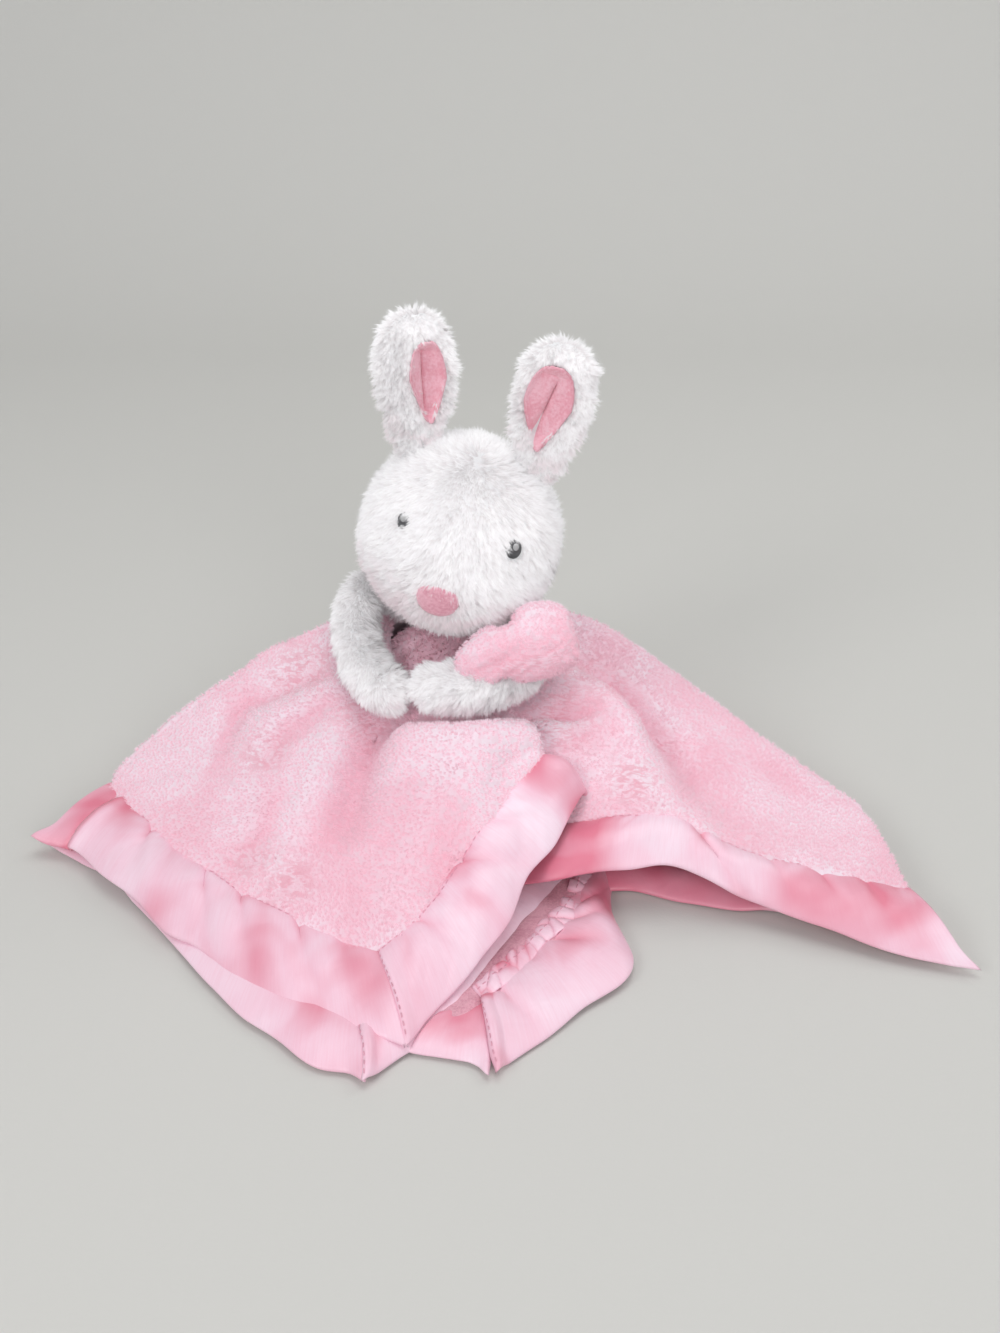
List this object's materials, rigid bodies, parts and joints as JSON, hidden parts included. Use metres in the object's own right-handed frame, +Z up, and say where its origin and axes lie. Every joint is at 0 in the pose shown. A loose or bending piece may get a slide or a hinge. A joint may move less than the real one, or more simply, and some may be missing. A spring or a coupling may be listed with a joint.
{
  "type": "comfort blanket with a rabbit head",
  "caption": "Comfort blanket lovey: a stuffed plush rabbit head with ears and arms on a soft blanket with satin binding, folded in two, hugging a fold of it.",
  "frame": {"origin": "on the floor, on the flat underside of the blanket, under the neck", "axes": "+Z up, the rabbit faces -Y, +X to the viewer's right and along the longest extent"},
  "size_m": [0.3375, 0.224, 0.1977],
  "materials": {
    "white_plush": "long soft pile, matt",
    "stuffing": "loose polyester fibre",
    "eye_thread": "satin stitch in dark grey thread",
    "glint_thread": "white stitch",
    "nose_felt": "short brushed felt, matt",
    "ear_lining": "short pink plush, matt",
    "pink_fleece": "short pink plush with a brushed, crinkled pile",
    "pink_satin": "smooth woven satin with a soft sheen"
  },
  "bodies": {
    "blanket": {"neck_gathers": "pink_fleece", "blanket_front_panel": "pink_fleece", "blanket_right_panel": "pink_fleece", "blanket_back_panel": "pink_fleece", "blanket_under_panel": "pink_fleece", "blanket_corner_flap": "pink_fleece", "binding_left": "pink_satin", "binding_front": "pink_satin", "binding_right": "pink_satin", "binding_under_left": "pink_satin", "binding_under_front": "pink_satin", "binding_under_right": "pink_satin", "binding_corner": "pink_satin"},
    "neck": {"neck_stub": "white_plush"},
    "head": {"head_front_cover": "white_plush", "head_back_cover": "white_plush", "head_stuffing": "stuffing", "nose_patch": "nose_felt", "left_eye": "eye_thread", "right_eye": "eye_thread", "left_eye_glint": "glint_thread", "right_eye_glint": "glint_thread"},
    "left_ear": {"left_ear_back": "white_plush", "left_ear_lining": "ear_lining"},
    "right_ear": {"right_ear_back": "white_plush", "right_ear_lining": "ear_lining"},
    "left_arm": {"left_arm_cover": "white_plush", "left_arm_stuffing": "stuffing"},
    "right_arm": {"right_arm_cover": "white_plush", "right_arm_stuffing": "stuffing", "held_blanket_fold": "pink_fleece"}
  },
  "joints": [
    {"name": "head_turn", "type": "hinge", "parent": "blanket", "child": "neck", "pos_m": [0, 0.003, 0.08], "axis": [0, 0, 1], "range_deg": [-25, 10]},
    {"name": "head_nod", "type": "hinge", "parent": "neck", "child": "head", "pos_m": [0, 0.003, 0.08], "axis": [-1, 0, 0], "range_deg": [0, 20]},
    {"name": "left_ear_flop", "type": "hinge", "parent": "head", "child": "left_ear", "pos_m": [-0.01501, 0.00158, 0.14507], "axis": [0.8781, 0.3382, 0.3385], "range_deg": [-40, 45], "stiffness_Nm_per_rad": 0.01},
    {"name": "right_ear_flop", "type": "hinge", "parent": "head", "child": "right_ear", "pos_m": [0.02784, -0.00293, 0.13669], "axis": [0.7154, -0.0752, -0.6947], "range_deg": [-40, 45], "stiffness_Nm_per_rad": 0.01},
    {"name": "left_arm_swing", "type": "hinge", "parent": "blanket", "child": "left_arm", "pos_m": [-0.0185, 0.012, 0.0668], "axis": [-0.4472, 0, -0.8944], "range_deg": [0, 25]},
    {"name": "right_arm_swing", "type": "hinge", "parent": "blanket", "child": "right_arm", "pos_m": [0.019, 0.007, 0.068], "axis": [-0.4472, 0, 0.8944], "range_deg": [0, 25]}
  ]
}
